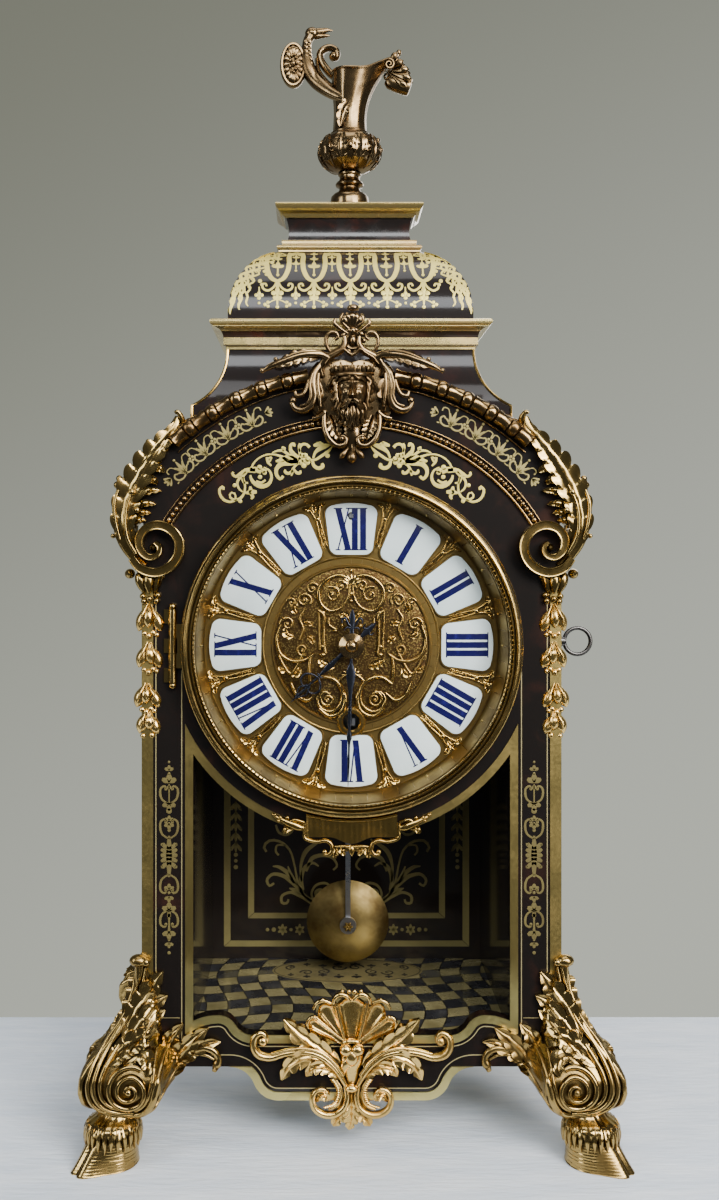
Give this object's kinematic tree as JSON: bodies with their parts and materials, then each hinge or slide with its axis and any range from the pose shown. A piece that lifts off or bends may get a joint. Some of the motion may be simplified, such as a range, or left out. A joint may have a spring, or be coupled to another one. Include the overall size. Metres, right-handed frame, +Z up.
{
  "type": "cartel clock",
  "caption": "Tall bracket clock with an arched veneered case on scroll legs, gilt mounts, a round hinged bezel, an open pendulum window and an ewer finial.",
  "frame": {"origin": "middle of the footprint, on the surface that the hooves stand on", "axes": "+X to the right as seen from the front, +Y to the back, +Z up; the dial faces -Y"},
  "size_m": [0.3262, 0.2062, 0.705],
  "materials": {
    "case_veneer": "polished tortoiseshell veneer with brass lines",
    "inlaid_back": "polished veneer, inlaid with brass inside the chamber",
    "lining": "polished dark veneer",
    "parquet": "brass and dark veneer parquet",
    "gilt_bronze": "gilt bronze, chased, mat and burnished",
    "brass": "polished brass",
    "enamel": "gloss white enamel with blue numerals",
    "glass": "clear",
    "blued_steel": "blued",
    "work_brass": "grained brass",
    "work_steel": "polished steel"
  },
  "bodies": {
    "case": {"front_panel": "case_veneer", "left_side": "case_veneer", "right_side": "case_veneer", "roof": "case_veneer", "neck": "case_veneer", "dome": "case_veneer", "back_panel": "inlaid_back", "chamber_linings": "lining", "floor_board": "parquet", "leg_front_left": "gilt_bronze", "leg_front_right": "gilt_bronze", "leg_back_left": "gilt_bronze", "leg_back_right": "gilt_bronze", "shell_mount": "gilt_bronze", "cornice": "gilt_bronze", "crown_moulding": "gilt_bronze", "finial": "gilt_bronze", "arch_mouldings": "gilt_bronze", "mask_mount": "gilt_bronze", "shoulder_mounts": "gilt_bronze", "garlands": "gilt_bronze", "nameplate": "gilt_bronze", "dial_centre": "gilt_bronze", "winding_collet": "gilt_bronze", "window_band": "brass", "corner_strips": "brass", "bezel_hinge_fixed": "brass", "sight_ring": "brass", "dial_plate": "brass", "door_hinges": "brass", "back_screws": "brass", "cartouches": "enamel", "movement_frame": "work_brass", "suspension_spring": "work_steel"},
    "bezel": {"bezel_ring": "gilt_bronze", "bezel_glass": "glass", "bezel_hinge_moving": "brass"},
    "minute_group": {"cannon_pinion": "work_brass", "minute_hand": "blued_steel", "hand_nut": "brass"},
    "motion_wheel": {"minute_wheel": "work_brass"},
    "hour_group": {"hour_wheel": "work_brass", "hour_hand": "blued_steel"},
    "centre": {"centre_wheel": "work_brass"},
    "third": {"third_wheel": "work_brass"},
    "escape": {"escape_wheel": "work_brass"},
    "intermediate": {"intermediate_wheel": "work_brass"},
    "going_barrel": {"barrel": "work_brass", "mainspring": "work_steel"},
    "winding": {"winding_arbor": "work_steel"},
    "ratchet_click": {"click": "work_steel"},
    "pallets": {"anchor": "work_steel"},
    "pendulum": {"pendulum_rod": "brass", "pendulum_bob": "brass"},
    "regulator": {"regulator_arbor": "work_steel"},
    "door": {"side_door": "case_veneer", "door_hinge_leaves": "brass", "door_lock": "brass"},
    "bolt": {"lock_bolt": "work_steel"},
    "door_key": {"key": "blued_steel"}
  },
  "joints": [
    {"name": "bezel_swing", "type": "hinge", "parent": "case", "child": "bezel", "pos_m": [-0.107, -0.0726, 0.3025], "axis": [0, 0, -1], "range_deg": [0, 90]},
    {"name": "minute_hand_turn", "type": "hinge", "parent": "case", "child": "minute_group", "pos_m": [0, 0, 0.3025], "axis": [0, 1, 0], "continuous": true},
    {"name": "minute_wheel_turn", "type": "hinge", "parent": "case", "child": "motion_wheel", "pos_m": [0.018, 0, 0.3025], "axis": [0, 1, 0], "continuous": true},
    {"name": "hour_hand_turn", "type": "hinge", "parent": "case", "child": "hour_group", "pos_m": [0, 0, 0.3025], "axis": [0, 1, 0], "continuous": true},
    {"name": "escape_wheel_turn", "type": "hinge", "parent": "case", "child": "escape", "pos_m": [0, 0, 0.33601], "axis": [0, 1, 0], "continuous": true},
    {"name": "third_wheel_turn", "type": "hinge", "parent": "case", "child": "third", "pos_m": [-0.01019, 0, 0.322], "axis": [0, 1, 0], "continuous": true},
    {"name": "centre_wheel_turn", "type": "hinge", "parent": "case", "child": "centre", "pos_m": [0, 0, 0.3025], "axis": [0, 1, 0], "continuous": true},
    {"name": "intermediate_wheel_turn", "type": "hinge", "parent": "case", "child": "intermediate", "pos_m": [0.02276, 0, 0.28389], "axis": [0, 1, 0], "continuous": true},
    {"name": "barrel_turn", "type": "hinge", "parent": "case", "child": "going_barrel", "pos_m": [0, 0, 0.256], "axis": [0, 1, 0], "continuous": true},
    {"name": "winding_arbor_turn", "type": "hinge", "parent": "case", "child": "winding", "pos_m": [0, 0, 0.256], "axis": [0, 1, 0], "continuous": true},
    {"name": "click_pivot", "type": "hinge", "parent": "case", "child": "ratchet_click", "pos_m": [0.0079, -0.043, 0.2754], "axis": [0, -1, 0], "range_deg": [0, 12], "stiffness_Nm_per_rad": 0.002, "springref_deg": -5.73},
    {"name": "pendulum_swing", "type": "hinge", "parent": "case", "child": "pendulum", "pos_m": [0, 0.0195, 0.355], "axis": [0, 1, 0], "range_deg": [-3, 3]},
    {"name": "anchor_rock", "type": "hinge", "parent": "case", "child": "pallets", "pos_m": [0, 0, 0.355], "axis": [0, 1, 0], "range_deg": [-3, 3]},
    {"name": "regulator_turn", "type": "hinge", "parent": "case", "child": "regulator", "pos_m": [0, 0, 0.3805], "axis": [0, 1, 0], "continuous": true},
    {"name": "side_door_swing", "type": "hinge", "parent": "case", "child": "door", "pos_m": [0.1272, 0.0522, 0.3025], "axis": [0, 0, 1], "range_deg": [0, 100]},
    {"name": "key_turn", "type": "hinge", "parent": "door", "child": "door_key", "pos_m": [0.12, -0.033, 0.3025], "axis": [1, 0, 0], "range_deg": [0, 180]},
    {"name": "lock_bolt_slide", "type": "slide", "parent": "door", "child": "bolt", "axis": [0, -1, 0], "range_m": [0, 0.006]}
  ],
  "couplings": [
    {"joint": "minute_wheel_turn", "follows": "minute_hand_turn", "ratio": -0.33333},
    {"joint": "hour_hand_turn", "follows": "minute_hand_turn", "ratio": 0.083333},
    {"joint": "third_wheel_turn", "follows": "escape_wheel_turn", "ratio": -0.1},
    {"joint": "centre_wheel_turn", "follows": "escape_wheel_turn", "ratio": 0.01},
    {"joint": "intermediate_wheel_turn", "follows": "escape_wheel_turn", "ratio": -0.0016667},
    {"joint": "barrel_turn", "follows": "escape_wheel_turn", "ratio": 0.0002381},
    {"joint": "anchor_rock", "follows": "pendulum_swing", "ratio": 1},
    {"joint": "key_turn", "follows": "lock_bolt_slide", "rad_per_m": 523.6}
  ]
}
